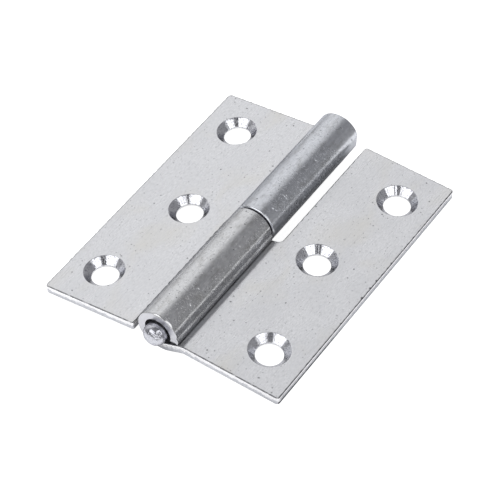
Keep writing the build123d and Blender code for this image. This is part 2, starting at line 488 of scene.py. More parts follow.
def skin(leaf, loops, face_depth, blank):
    """Triangles of one face of the sheet, between its outline and its holes."""
    ids = np.concatenate(loops)
    edges, start = [], 0
    tree = kdtree.KDTree(len(ids))
    for loop in loops:
        edges += [(start + k, start + (k + 1) % len(loop)) for k in range(len(loop))]
        start += len(loop)
    for k, (s, y, d) in enumerate(blank[ids]):
        tree.insert((s, y, 0), k)
    tree.balance()
    clear = []
    for s, y in inside_points(leaf, face_depth):
        room = clear_of_rim["fine" if s >= flat_end - 0.3 else "coarse"]
        near_hole = any(math.dist((s, y), place) <= sink_radius + clear_of_rim["hole"]
                        for place in hole_places)
        if tree.find((s, y, 0))[2] > room and not near_hole:
            clear.append((s, y))
    flat = [Vector((s, y)) for s, y, d in blank[ids]] + [Vector(point) for point in clear]
    rim = list(range(len(loops[0])))
    only_inside = 1  # the kind of result with triangles inside the outline only
    points, _, triangles, origin, _, owners = delaunay_2d_cdt(flat, edges, [rim], only_inside, 1e-7, True)
    fresh = {}
    rows = []
    for k, point in enumerate(points):
        source = [o for o in origin[k] if o < len(ids)]
        if source:
            fresh[k] = int(ids[source[0]])
        else:
            fresh[k] = len(blank) + len(rows)
            rows.append((point.x, point.y, face_depth))
    opening = [max(math.dist(blank[k][:2], place) for k in loop)
               for loop, place in zip(loops[1:], hole_places)]
    kept = []
    for triangle, owner in zip(triangles, owners):
        centre = sum((points[k] for k in triangle), Vector((0, 0))) / 3
        if owner and all(math.dist(centre, place) > reach for place, reach in zip(hole_places, opening)):
            corners = [fresh[k] for k in triangle]
            kept.append(corners if face_depth > 0 else corners[::-1])
    return rows, kept


print("least distance from the rim in mm", clear_of_rim)

# %% [markdown]
# ## Quads between rows
#
# Neighbouring rows round the cut, and neighbouring rings of a hole, have equally many points, so quads join
# them one for one. The number of a row also tells how its strip was made, which picks the material: plated
# face, sheared edge or turned cone.

# %% Quads and their materials
plated, sheared, turned_cone = 0, 1, 2
sheared_rows, cone_rings = range(3, 11), range(1, 13)


def between_rows(first, second):
    """Quads between two closed rows of point numbers, facing away from the metal."""
    return [[first[k], first[(k + 1) % len(first)], second[(k + 1) % len(first)], second[k]]
            for k in range(len(first))]


print("rows with a sheared strip", len(sheared_rows), "and rings with a turned one", len(cone_rings))

# %% [markdown]
# ## Putting a leaf together
#
# The rows round the cut edge, the rings of the holes and the two filled faces share their points, so the
# leaf is one closed mesh. The place in the flat blank is kept on every point for the materials, and then
# the blank is bent.

# %% Mesh of one leaf
def make_leaf(name):
    """The bent, rolled, drilled leaf as one closed mesh."""
    leaf = leaves[name]
    points, inward = outline(leaf["corners"])
    blank, faces, zones = np.empty((0, 3)), [], []

    def add_row(row):
        """Add points to the blank and return their numbers."""
        nonlocal blank
        first = len(blank)
        blank = np.vstack([blank, row])
        return np.arange(first, first + len(row))

    rim = [add_row(row) for row in rim_rows(leaf, points, inward)]
    for k, (upper, lower) in enumerate(zip(rim, rim[1:])):
        quads = between_rows(upper, lower)
        faces += quads
        zones += [sheared if k in sheared_rows else plated] * len(quads)
    top_loops, back_loops = [rim[0]], [rim[-1]]
    for k, place in enumerate(hole_places):
        rings = [add_row(ring) for ring in hole_rings(place, 20 * leaf["seed"] + k)]
        for j, (upper, lower) in enumerate(zip(rings, rings[1:])):
            quads = [quad[::-1] for quad in between_rows(upper, lower)]
            faces += quads
            zones += [turned_cone if j in cone_rings else plated] * len(quads)
        top_loops.append(rings[0])
        back_loops.append(rings[-1])
    for loops, depth in ((top_loops, 0.0), (back_loops, sheet)):
        rows, triangles = skin(leaf, loops, depth, blank)
        add_row(np.array(rows))
        faces += triangles
        zones += [plated] * len(triangles)
    s, y, d = blank.T
    across, up = bend(s, d + pressed(name, s, y, d))
    mesh = bpy.data.meshes.new(name + "_sheet")
    mesh.from_pydata(lay_down(name, across, y, up).tolist(), [], [[int(k) for k in face] for face in faces])
    mesh.polygons.foreach_set("material_index", zones)
    mesh.polygons.foreach_set("use_smooth", [True] * len(faces))
    mesh.attributes.new("sheet_mm", "FLOAT_VECTOR", "POINT").data.foreach_set("vector", blank.ravel())
    mesh.update()
    piece = bpy.data.objects.new(name + "_sheet", mesh)
    bpy.context.scene.collection.objects.link(piece)
    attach(piece, leaf["body"])
    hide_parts(name)
    print(name, len(blank), "points", len(faces), "faces")
    return piece


leaf_pieces = {name: make_leaf(name) for name in leaves}

# %% [markdown]
# ## The pin
#
# The pin is cut from bright drawn wire: a plain cylinder with a slimmer, rounded nose. The nose was
# upset in a die and left rough, so it has small pits round its tip. A turned profile with enough rows on
# the nose lets those pits be real dents, which a bump alone would lose at the outline.

# %% Turned profile of the pin
neck_radius, nose_radius, nose_tip = 2.8, 2.0, -3.0
nose_start = nose_tip + nose_radius
pin_end, chamfer = leaf_length - 0.5, 0.3
middle_ring = 0.06  # radius of the smallest ring at either end


def pin_profile():
    """Stations along the pin from its near end, with the radius there."""
    rows = [(nose_tip, r) for r in np.linspace(middle_ring, neck_radius - nose_radius, 11)]
    for angle in np.radians(np.linspace(4, 90, 34)):
        rows.append((nose_start - nose_radius * math.cos(angle),
                     neck_radius - nose_radius + nose_radius * math.sin(angle)))
    rows += [(y, neck_radius) for y in (-0.9, -0.6, -0.2, 0.3, 0.8, 1.15)]
    # The neck widens inside the door leaf's knuckle, which slides over it more easily
    rows += [(1.25, 2.83), (1.6, 2.98), (1.95, 3.13), (2.1, pin_radius)]
    rows += [(y, pin_radius) for y in np.linspace(3, 73.8, 30)]
    edge = pin_end - chamfer
    rows += [(edge - 0.1, pin_radius), (edge, pin_radius), (edge + 0.05, pin_radius - 0.03)]
    rows += [(pin_end, pin_radius - chamfer + 0.02), (pin_end, 2.7), (pin_end, middle_ring)]
    return rows


print("rows along the pin", len(pin_profile()))

# %% [markdown]
# ## Pits in the nose
#
# The larger pits are placed one by one, as on the real nose, and ten small ones are drawn from a seed. Each
# pushes the points round it inwards along the surface's own slope, so a pit on the rounding points to the
# middle of the rounding, and one on the tip straight back.

# %% Pits in the nose
# The placed pits: across, up from the axis, radius, depth. The last is a broad shallow flat.
nose_pits = (
    (-0.41, 1.65, 0.14, 0.10), (-0.26, 0.81, 0.15, 0.10), (0.10, 1.20, 0.12, 0.07),
    (0.74, 0.42, 0.16, 0.10), (0.98, 0.30, 0.10, 0.06), (1.41, 1.27, 0.22, 0.16),
    (1.64, 1.82, 0.16, 0.13), (2.05, 1.30, 0.16, 0.13), (1.75, 1.52, 0.12, 0.10),
    (1.15, 1.60, 0.10, 0.08), (1.84, 1.95, 0.20, 0.15), (1.50, 2.15, 0.12, 0.09),
    (0.65, 1.95, 0.60, 0.06))
rough_until = -1.2  # station where the rough nose ends


def small_pits(count=10, seed=31):
    """Seeded small pits, in the same form as the placed ones."""
    draw = np.random.default_rng(seed)
    return [(draw.uniform(-1.6, 1.8), draw.uniform(-1.6, 1.8),
             draw.uniform(0.08, 0.13), draw.uniform(0.04, 0.08)) for _ in range(count)]


def pit_depth(x, z, stations):
    """How deep the nose is sunk at each point: broad waves and the pits."""
    rough = stations < rough_until
    sunk = 0.03 * np.sin(2.1 * x + 0.5) * np.sin(1.7 * z + 1.1) * rough
    for across, above, size, depth in list(nose_pits) + small_pits():
        away = (x - across) ** 2 + (z - above) ** 2
        sunk += depth * np.exp(-away / size ** 2) * rough
    return sunk


print("pits", len(nose_pits) + len(small_pits()))

# %% [markdown]
# ## The pin's mesh
#
# The profile is turned round the axis in steps of 2.5 degrees, which keeps the nose smooth in a close view,
# and a fan of triangles closes either end. Its points also carry a place in millimetres, unrolled like the
# sheet, so the pin can use the same kind of material as the leaves.

# %% Mesh of the pin
def make_pin():
    """The pin as one closed turned mesh with a pitted nose."""
    angles = np.linspace(0, 2 * math.pi, 145)[:-1]
    rows = pin_profile()
    stations = np.repeat([row[0] for row in rows], len(angles))
    radii = np.repeat([row[1] for row in rows], len(angles))
    turn = np.tile(angles, len(rows))
    x, z = radii * np.cos(turn), radii * np.sin(turn)
    step, widening = (np.repeat(np.gradient([row[k] for row in rows]), len(angles)) for k in (0, 1))
    tilted = np.hypot(step, widening)
    sunk = pit_depth(x, z, stations)
    # A pit moves its points along the surface's normal: some of it along the pin, the rest to the axis
    drop, inward = sunk * widening / tilted, 1 - sunk * step / tilted / radii
    points = np.stack([x * inward, near_end + stations + drop, axis_height + z * inward], 1)
    tips = [[0, near_end + rows[0][0], axis_height], [0, near_end + rows[-1][0], axis_height]]
    count, faces = len(angles), []
    for k in range(len(rows) - 1):
        for j in range(count):
            a, b = k * count + j, k * count + (j + 1) % count
            faces.append([a, b, b + count, a + count])
    near_tip, far_tip = len(points), len(points) + 1
    for j in range(count):
        faces.append([near_tip, (j + 1) % count, j])
        faces.append([far_tip, near_tip - count + j, near_tip - count + (j + 1) % count])
    mesh = bpy.data.meshes.new("pin_turned")
    mesh.from_pydata((np.vstack([points, tips]) / 1000).tolist(), [], faces)
    mesh.polygons.foreach_set("use_smooth", [True] * len(faces))
    round_pin = np.column_stack([pin_radius * turn, stations, radii])
    round_pin = np.vstack([round_pin, [[0, nose_tip, 0], [0, pin_end, 0]]])
    mesh.attributes.new("sheet_mm", "FLOAT_VECTOR", "POINT").data.foreach_set("vector", round_pin.ravel())
    mesh.update()
    piece = bpy.data.objects.new("pin_turned", mesh)
    bpy.context.scene.collection.objects.link(piece)
    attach(piece, "pin")
    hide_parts("hinge_pin")
    print("pin", len(points), "points")
    return piece


pin_piece = make_pin()

# %% [markdown]
# ## Bright zinc-plated steel
#
# The plating is a few thousandths of a millimetre of zinc, passivated clear. It copies the mill finish of
# the sheet under it: a fine grain along the leaf, faint cloudy patches from the bath, and here and there a
# dark speck where the steel was pitted. Zinc is a metal, so its colour is in its reflection: light grey
# with a touch of blue, and satin, because the grain spreads the reflection a little. The pattern reads the
# blank's own millimetres, so the grain follows the sheet round the knuckle.

# %% Helpers for colours and nodes
def colour(code):
    """Linear colour for an sRGB hex value."""
    parts = [int(code[k:k + 2], 16) / 255 for k in (1, 3, 5)]
    return tuple(c / 12.92 if c <= 0.04045 else ((c + 0.055) / 1.055) ** 2.4 for c in parts) + (1.0,)


def node(tree, kind, inputs=None, **settings):
    """Add one node: settings are its properties, inputs are values or links by socket name or number."""
    made = tree.nodes.new(kind)
    for key, value in settings.items():
        setattr(made, key, value)
    for socket, value in (inputs or {}).items():
        if isinstance(value, bpy.types.NodeSocket):
            tree.links.new(value, made.inputs[socket])
        else:
            made.inputs[socket].default_value = value
    return made


def new_material(title):
    """An empty node material, its node tree, and the place in the sheet in millimetres."""
    material = bpy.data.materials.new(title)
    material.use_nodes = True
    tree = material.node_tree
    tree.nodes.clear()
    place = node(tree, "ShaderNodeAttribute", attribute_name="sheet_mm").outputs["Vector"]
    return material, tree, place


def pattern(tree, place, size, **values):
    """Noise with features of the given size in millimetres across, along and through the sheet."""
    stretched = node(tree, "ShaderNodeMapping", {"Vector": place, "Scale": [1 / mm for mm in size]})
    values = {"Vector": stretched.outputs["Vector"], "Scale": 1.0, **values}
    return node(tree, "ShaderNodeTexNoise", values).outputs["Fac"]


edge_tint = colour("#BCBCBF")  # dulls the zinc where it is seen at a low angle
dark_steel_and_shade = colour("#3C3D42")  # what shows in a pit and in a nick, and the colour of the painted shade lines
print("dark steel", [round(c, 3) for c in dark_steel_and_shade])

# %% [markdown]
# ## Specks in the plating
#
# Where the mill left a pit in the steel, the zinc covers it badly, and a dark speck shows, up to half a
# millimetre wide. A cell pattern puts one speck at most in each cell and gives each its own chance, size
# and strength, while noise with a threshold would give blotches of one strength. The place is shaken a
# little first, so that no speck is a clean circle. The finest real specks can't be seen in the render and
# are left out.

# %% Specks
def specks(tree, place, cell, share, biggest):
    """Dark pits in a share of the cells, with the cell's width and the biggest radius in millimetres."""
    rough = node(tree, "ShaderNodeTexNoise", {"Vector": place, "Scale": 4.0, "Detail": 1.0})
    shaken = node(tree, "ShaderNodeVectorMath", {
        0: rough.outputs["Color"], 1: (0.35, 0.35, 0.0), 2: place}, operation="MULTIPLY_ADD")
    cells = node(tree, "ShaderNodeTexVoronoi", {"Vector": shaken.outputs["Vector"], "Scale": 1 / cell},
                 voronoi_dimensions="2D")
    chance = node(tree, "ShaderNodeSeparateColor", {"Color": cells.outputs["Color"]})
    size = node(tree, "ShaderNodeMapRange", {
        "Value": chance.outputs["Red"], "From Min": 1 - share, "To Max": biggest / cell})
    inside = node(tree, "ShaderNodeMath", {0: size.outputs["Result"], 1: cells.outputs["Distance"]},
                  operation="SUBTRACT")
    soft_border = 0.06 / cell
    spot = node(tree, "ShaderNodeMapRange", {"Value": inside.outputs[0], "From Max": soft_border})
    depth = node(tree, "ShaderNodeMapRange", {
        "Value": chance.outputs["Green"], "To Min": 0.12, "To Max": 0.75})
    return node(tree, "ShaderNodeMath", {0: spot.outputs["Result"], 1: depth.outputs["Result"]},
                operation="MULTIPLY").outputs[0]


# Two sizes of speck: width of a cell, share of the cells that have one, biggest radius
speck_kinds = ((3.5, 0.7, 0.25), (1.2, 0.8, 0.15))
print("specks up to", [2 * biggest for cell, share, biggest in speck_kinds], "mm wide")

# %% [markdown]
# ## Nicks and the painted contact shadow
#
# In the plating barrel the hinges knock against each other, and the door leaf's thin outer edge has five
# nicks from it. They are single marks at known places, so each is a distance to a fixed point of the edge,
# and no noise. Where the outer edge meets the back, next to the table, a dark line of painted contact
# shadow runs along the first third of the leaf and then fades. Both are colour only: they are too small to
# change the outline.

# %% Nicks and the painted contact shadow
# Nicks in the door leaf's outer edge: station along it and radius
edge_nicks = ((25.7, 0.16), (34.7, 0.30), (38.2, 0.28), (40.9, 0.26), (47.3, 0.18))
nick_inset = 0.28  # of their middles from the edge


def nicks(tree, place):
    """Dark nicks at fixed places in the outer edge."""
    strength = 0.0
    for station, radius in edge_nicks:
        away = node(tree, "ShaderNodeVectorMath", {0: place, 1: (nick_inset, station, 0.0)},
                    operation="DISTANCE")
        mark = node(tree, "ShaderNodeMapRange", {
            "Value": away.outputs["Value"], "From Min": radius, "From Max": radius + 0.1,
            "To Min": 0.8, "To Max": 0.0})
        strength = node(tree, "ShaderNodeMath", {0: strength, 1: mark.outputs["Result"]},
                        operation="MAXIMUM").outputs[0]
    return strength


def contact_shadow_line(tree, sizes):
    """Painted contact shadow: a dark line where the outer edge meets the back, over the first 24 mm of the
    leaf.
    """
    low = node(tree, "ShaderNodeMapRange", {
        "Value": sizes.outputs["Z"], "From Min": 1.30, "From Max": 1.45})
    outer = node(tree, "ShaderNodeMapRange", {
        "Value": sizes.outputs["X"], "From Min": 0.16, "From Max": 0.22, "To Min": 0.85, "To Max": 0.0})
    first = node(tree, "ShaderNodeMapRange", {
        "Value": sizes.outputs["Y"], "From Min": 20.0, "From Max": 27.0, "To Min": 1.0, "To Max": 0.0})
    corner = node(tree, "ShaderNodeMath", {0: low.outputs["Result"], 1: outer.outputs["Result"]},
                  operation="MULTIPLY")
    return node(tree, "ShaderNodeMath", {0: corner.outputs[0], 1: first.outputs["Result"]},
                operation="MULTIPLY").outputs[0]


print("nicks", len(edge_nicks))

# %% [markdown]
# ## Colour of the plated sheet
#
# Over the mill's grain lie a paler mottle, broad warm clouds from the bath, hairlines along the leaf from
# the rolls that flattened the strip, and on the knuckles the grey smudges of the rolling tool. Each layer
# is a weak mix over the one before, so the metal still reads as one light grey. The real grain and
# hairlines are a few hundredths of a millimetre wide, too fine to show, and are drawn 0.3 mm and 0.13 mm
# wide.

# %% Colour of the plated sheet
def sheet_colour(tree, place, grain, mottle, on_roll):
    """Zinc grey with its mottle, clouds, hairlines and smudges over the grain."""
    cloud = pattern(tree, place, (9.0, 16.0, 4.0), Detail=3.0, Distortion=0.6)
    hairline = pattern(tree, place, (0.13, 11.0, 1.0), Detail=1.0)
    smudge = pattern(tree, place, (0.9, 3.0, 1.0), Detail=3.0, Roughness=0.6)
    on_knuckle = node(tree, "ShaderNodeMath", {0: on_roll, 1: 0.32}, operation="MULTIPLY").outputs[0]
    zinc = node(tree, "ShaderNodeMix", {"Factor": grain, "A": colour("#B9BBBE"), "B": colour("#FDFDFF")},
                data_type="RGBA").outputs["Result"]
    # Layers: noise, its value where the layer starts and where it is full, strength, colour
    layers = ((mottle, 0.35, 0.65, 0.50, "#E4E5E8"), (cloud, 0.50, 0.72, 0.55, "#DEDCD6"),
              (hairline, 0.64, 0.74, 0.28, "#8E8F94"), (smudge, 0.50, 0.66, on_knuckle, "#A19F9B"))
    for noise, start, full, strength, tint in layers:
        share = node(tree, "ShaderNodeMapRange", {
            "Value": noise, "From Min": start, "From Max": full, "To Max": strength})
        zinc = node(tree, "ShaderNodeMix", {
            "Factor": share.outputs["Result"], "A": zinc, "B": colour(tint)},
            data_type="RGBA").outputs["Result"]
    return zinc


print("zinc from", [round(c, 3) for c in colour("#B9BBBE")], "to", [round(c, 3) for c in colour("#FDFDFF")])

# %% [markdown]
# ## Dark lines at the edges
#
# A fine dark line runs round the leaf. It is painted shade, which stands in for the dark that the rounded
# edge mirrors. It is drawn in two parts: one on the rounding itself, by the depth below the face, and one
# on the face close beside the edge. The mottle breaks both up, because a line of even strength looks inked
# on.
# The second part fades on the roll, where the photograph shows hardly any.

# %% Dark lines at the edges
line_full, line_gone = 0.2, 0.42  # distances from the edge, of the line on the face


def painted_edge_shade(tree, sizes, mottle, on_roll):
    """Strength of the painted shade line on the edge's rounding and on the face beside it."""
    patchy = node(tree, "ShaderNodeMapRange", {
        "Value": mottle, "From Min": 0.32, "From Max": 0.5, "To Min": 0.2})
    below_face = node(tree, "ShaderNodeMapRange", {
        "Value": sizes.outputs["Z"], "From Min": 0.004, "From Max": 0.03})
    above_cut = node(tree, "ShaderNodeMapRange", {
        "Value": sizes.outputs["Z"], "From Min": 0.15, "From Max": 0.25, "To Min": 0.85, "To Max": 0.0})
    rounding = node(tree, "ShaderNodeMath", {
        0: below_face.outputs["Result"], 1: above_cut.outputs["Result"]}, operation="MULTIPLY")
    shade_on_rounding = node(tree, "ShaderNodeMath", {0: rounding.outputs[0], 1: patchy.outputs["Result"]},
                      operation="MULTIPLY")
    from_far = node(tree, "ShaderNodeMath", {0: leaf_length, 1: sizes.outputs["Y"]}, operation="SUBTRACT")
    from_end = node(tree, "ShaderNodeMath", {0: from_far.outputs[0], 1: sizes.outputs["Y"]},
                    operation="MINIMUM")
    from_edge = node(tree, "ShaderNodeMath", {0: from_end.outputs[0], 1: sizes.outputs["X"]},
                     operation="MINIMUM")
    beside = node(tree, "ShaderNodeMapRange", {
        "Value": from_edge.outputs[0], "From Min": line_full, "From Max": line_gone,
        "To Min": 0.62, "To Max": 0.0})
    off_roll = node(tree, "ShaderNodeMath", {0: on_roll, 1: -0.7, 2: patchy.outputs["Result"]},
                    operation="MULTIPLY_ADD", use_clamp=True)
    on_face = node(tree, "ShaderNodeMath", {0: beside.outputs["Result"], 1: off_roll.outputs[0]},
                   operation="MULTIPLY")
    return node(tree, "ShaderNodeMath", {0: on_face.outputs[0], 1: shade_on_rounding.outputs[0]},
                operation="MAXIMUM").outputs[0]


print("the line on the face fades out", line_gone, "mm from the edge")

# %% [markdown]
# ## Gloss of the plated sheet
#
# The flat leaf is evenly satin, with slow changes from the bath. The knuckles were handled and hold dust in
# fine spots, which scatter the light far more, and their free end was rubbed bright on the rolling tool. A
# metal shows such things in its roughness before it shows them in its colour.

# %% Gloss of the plated sheet
leaf_roughness = 0.27
rubbed_start = blank_width - free_end - 3.0  # on the roll, short of the free end


def sheet_roughness(tree, place, sizes, on_roll):
    """Roughness with bath clouds on the leaf, and with dust and the rubbed end on the roll."""
    bath = pattern(tree, place, (8.0, 13.0, 5.0), Detail=2.0)
    dust = pattern(tree, place, (0.28, 0.28, 0.28), Detail=1.0)
    satin = node(tree, "ShaderNodeMapRange", {
        "Value": bath, "From Min": 0.3, "From Max": 0.7,
        "To Min": leaf_roughness - 0.03, "To Max": leaf_roughness + 0.04})
    dusty = node(tree, "ShaderNodeMapRange", {
        "Value": dust, "From Min": 0.58, "From Max": 0.68, "To Min": 0.01, "To Max": 0.36})
    rubbed = node(tree, "ShaderNodeMapRange", {
        "Value": sizes.outputs["X"], "From Min": rubbed_start, "From Max": rubbed_start + 1.0,
        "To Max": -0.085})
    even = node(tree, "ShaderNodeMath", {0: satin.outputs["Result"], 1: rubbed.outputs["Result"]},
                operation="ADD")
    return node(tree, "ShaderNodeMath", {0: on_roll, 1: dusty.outputs["Result"], 2: even.outputs[0]},
                operation="MULTIPLY_ADD").outputs[0]


print("rubbed from", round(rubbed_start, 2), "mm on")

# %% [markdown]
# ## The plated sheet
#
# The parts above make one material: the zinc's colour, darkened to steel where there is a speck or a nick
# and by painted shade along the edges and in the contact shadow at the back corner, and a clear film over
# it that tints the rolls, a touch bluer on the far roll than on the near one. The grain also lifts the
# surface by some thousandths of a millimetre and the specks sink into it, which gives the leaf its faint
# sparkle.

# %% The plated sheet
flat_relief, more_on_roll = 0.000005, 0.000006  # metres
speck_sink = -6.0  # how deep a speck sinks, in heights of the grain


def zinc_plate(title, film, nicked):
    """Satin zinc plate on mill-finish sheet, with painted shade at its edges, with or without nicks in its
    outer edge.
    """
    material, tree, place = new_material(title)
    sizes = node(tree, "ShaderNodeSeparateXYZ", {"Vector": place})
    grain = pattern(tree, place, (0.30, 0.95, 1.0), Detail=3.0, Roughness=0.7)
    mottle = pattern(tree, place, (1.1, 1.9, 1.0), Detail=3.0, Roughness=0.6)
    on_roll = node(tree, "ShaderNodeMapRange", {
        "Value": sizes.outputs["X"], "From Min": roll_start - 1,
        "From Max": roll_start + 1}).outputs["Result"]
    large, small = (specks(tree, place, *kind) for kind in speck_kinds)
    pits = node(tree, "ShaderNodeMath", {0: large, 1: small}, operation="MAXIMUM").outputs[0]
    # The edge lines and the contact shadow line are painted shade; the pits and nicks are real marks.
    marks = [painted_edge_shade(tree, sizes, mottle, on_roll), contact_shadow_line(tree, sizes)]
    if nicked:
        marks.append(nicks(tree, place))
    dark = pits
    for mark in marks:
        dark = node(tree, "ShaderNodeMath", {0: dark, 1: mark}, operation="MAXIMUM").outputs[0]
    zinc = sheet_colour(tree, place, grain, mottle, on_roll)
    flecked = node(tree, "ShaderNodeMix", {"Factor": dark, "A": zinc, "B": dark_steel_and_shade}, data_type="RGBA")
    filmed = node(tree, "ShaderNodeMix", {
        "Factor": on_roll, "A": flecked.outputs["Result"], "B": colour(film)},
        data_type="RGBA", blend_type="MULTIPLY")
    sunk = node(tree, "ShaderNodeMath", {0: pits, 1: speck_sink, 2: grain}, operation="MULTIPLY_ADD")
    relief = node(tree, "ShaderNodeMath", {0: sunk.outputs[0], 1: mottle}, operation="ADD")
    height = node(tree, "ShaderNodeMath", {0: on_roll, 1: more_on_roll, 2: flat_relief},
                  operation="MULTIPLY_ADD")
    bump = node(tree, "ShaderNodeBump", {
        "Height": relief.outputs[0], "Strength": 1.0, "Distance": height.outputs[0]})
    steel = node(tree, "ShaderNodeBsdfPrincipled", {
        "Base Color": filmed.outputs["Result"], "Roughness": sheet_roughness(tree, place, sizes, on_roll),
        "Normal": bump.outputs["Normal"], "Metallic": 1.0, "Specular Tint": edge_tint})
    node(tree, "ShaderNodeOutputMaterial", {"Surface": steel.outputs["BSDF"]})
    return material


zinc_sheets = {"frame_leaf": zinc_plate("zinc_plated_frame_sheet", "#F6F8FB", False),
               "door_leaf": zinc_plate("zinc_plated_door_sheet", "#FAFAF9", True)}
print("nodes", {name: len(sheet.node_tree.nodes) for name, sheet in zinc_sheets.items()})

# %% [markdown]
# ## The cut edges
#
# Where the press cut the sheet, the steel first sheared smooth and then broke off rough. The plating
# covers both, so the colour stays light: the smooth upper part is a bright band with a ragged border, and
# the broken part below it is greyer. Short grains through the sheet, about 0.3 mm wide, roughen it. The
# knuckles' ends were faced after rolling and are even, half way between the two.

# %% The sheared edge
burnished_relief, broken_relief = 0.000006, 0.000018  # metres, the second on top of the first


def sheared_zinc():
    """Zinc on a cut edge, smooth above and torn below, and even on the knuckles' ends."""
    material, tree, place = new_material("zinc_on_sheared_edge")
    torn = pattern(tree, place, (0.30, 0.30, 0.9), Detail=3.0)
    ragged = pattern(tree, place, (1.3, 1.3, 0.8), Detail=3.0)
    fine = pattern(tree, place, (0.15, 0.15, 0.4), Detail=2.0)
    sizes = node(tree, "ShaderNodeSeparateXYZ", {"Vector": place})
    border = node(tree, "ShaderNodeMath", {0: ragged, 1: 1.6, 2: sizes.outputs["Z"]},
                  operation="MULTIPLY_ADD")
    below = node(tree, "ShaderNodeMapRange", {
        "Value": border.outputs[0], "From Min": 1.65, "From Max": 1.95})
    faced = node(tree, "ShaderNodeMapRange", {
        "Value": sizes.outputs["X"], "From Min": roll_start - 1.5, "From Max": roll_start})
    broken = node(tree, "ShaderNodeMix", {
        "Factor": faced.outputs["Result"], "A": below.outputs["Result"], "B": 0.5}, data_type="FLOAT")
    relief = node(tree, "ShaderNodeMath", {0: torn, 1: fine}, operation="ADD")
    height = node(tree, "ShaderNodeMath", {
        0: broken.outputs["Result"], 1: broken_relief, 2: burnished_relief}, operation="MULTIPLY_ADD")
    bump = node(tree, "ShaderNodeBump", {
        "Height": relief.outputs[0], "Strength": 1.0, "Distance": height.outputs[0]})
    tone = node(tree, "ShaderNodeMix", {"Factor": torn, "A": colour("#B2B4BA"), "B": colour("#E2E3E7")},
                data_type="RGBA")
    edge = node(tree, "ShaderNodeMix", {
        "Factor": broken.outputs["Result"], "A": colour("#F6F6F8"), "B": tone.outputs["Result"]},
        data_type="RGBA")
    ends = node(tree, "ShaderNodeMix", {
        "Factor": faced.outputs["Result"], "A": edge.outputs["Result"], "B": colour("#E8E8EA")},
        data_type="RGBA", blend_type="MULTIPLY")
    # The dark line at the back corner of the cut edge is painted contact shadow.
    lined = node(tree, "ShaderNodeMix", {
        "Factor": contact_shadow_line(tree, sizes), "A": ends.outputs["Result"], "B": dark_steel_and_shade},
        data_type="RGBA")
    satin = node(tree, "ShaderNodeMapRange", {
        "Value": broken.outputs["Result"], "To Min": 0.22, "To Max": 0.42})
    steel = node(tree, "ShaderNodeBsdfPrincipled", {
        "Base Color": lined.outputs["Result"], "Roughness": satin.outputs["Result"], "Metallic": 1.0,
        "Normal": bump.outputs["Normal"], "Specular Tint": edge_tint})
    node(tree, "ShaderNodeOutputMaterial", {"Surface": steel.outputs["BSDF"]})
    return material


zinc_edge = sheared_zinc()
print(zinc_edge.name, len(zinc_edge.node_tree.nodes), "nodes")

# %% [markdown]
# ## The turned countersinks and the pin
#
# A cutter leaves a far smoother surface than the mill, so the cones are brighter and mirror what is
# around them. Small torn spots, about 0.3 mm wide, break the mirror up where its image changes fast. The
# pin is drawn wire: the same finish, a little duller and greyer, with shallower spots.

# %% The turned cone and the pin
def turned_zinc(title, roughness, torn_depth, light):
    """Bright zinc on turned or drawn steel, with torn spots of the given depth in metres."""
    material, tree, place = new_material(title)
    cut = pattern(tree, place, (0.5, 0.5, 0.5), Detail=2.0)
    torn = pattern(tree, place, (0.28, 0.28, 0.28), Detail=2.0)
    satin = node(tree, "ShaderNodeMapRange", {
        "Value": cut, "To Min": roughness - 0.05, "To Max": roughness + 0.07})
    bump = node(tree, "ShaderNodeBump", {"Height": torn, "Strength": 1.0, "Distance": torn_depth})
    dull = node(tree, "ShaderNodeMapRange", {
        "Value": torn, "From Min": 0.58, "From Max": 0.64, "To Max": 0.9})
    tone = node(tree, "ShaderNodeMix", {
        "Factor": dull.outputs["Result"], "A": colour(light), "B": colour("#7A7888")},
        data_type="RGBA")
    steel = node(tree, "ShaderNodeBsdfPrincipled", {
        "Base Color": tone.outputs["Result"], "Roughness": satin.outputs["Result"], "Metallic": 1.0,
        "Normal": bump.outputs["Normal"], "Specular Tint": edge_tint})
    node(tree, "ShaderNodeOutputMaterial", {"Surface": steel.outputs["BSDF"]})
    return material


zinc_cone = turned_zinc("zinc_on_turned_cone", 0.15, 0.00003, "#E6E7EB")
zinc_pin = turned_zinc("zinc_plated_pin", 0.21, 0.000012, "#CDCED4")
# The slots follow the numbers of a leaf's faces: plated, sheared, turned cone
for name, piece in leaf_pieces.items():
    for material in (zinc_sheets[name], zinc_edge, zinc_cone):
        piece.data.materials.append(material)
pin_piece.data.materials.append(zinc_pin)
print("materials", [material.name for material in bpy.data.materials if material.name.startswith("zinc")])

# %% [markdown]
# ## Studio
#
# Metal shows its surroundings, so the light is chosen by what each face should mirror. The leaves and the
# knuckle's left side look at a large pale wall behind on the left, which is darker near the floor. The
# knuckle's right side looks at an unlit grey room, a little lighter low down, which makes its dark band.
# The room is the world's colour by direction, which needs no modelled walls.

# %% Walls of the room
to_pale_wall = Vector((-0.75, 0.60, 0.28)).normalized()

world = bpy.data.worlds.new("studio_room")
bpy.context.scene.world = world
world.use_nodes = True
room = world.node_tree
room.nodes.clear()
look = node(room, "ShaderNodeTexCoord").outputs["Generated"]
upward = node(room, "ShaderNodeSeparateXYZ", {"Vector": look}).outputs["Z"]
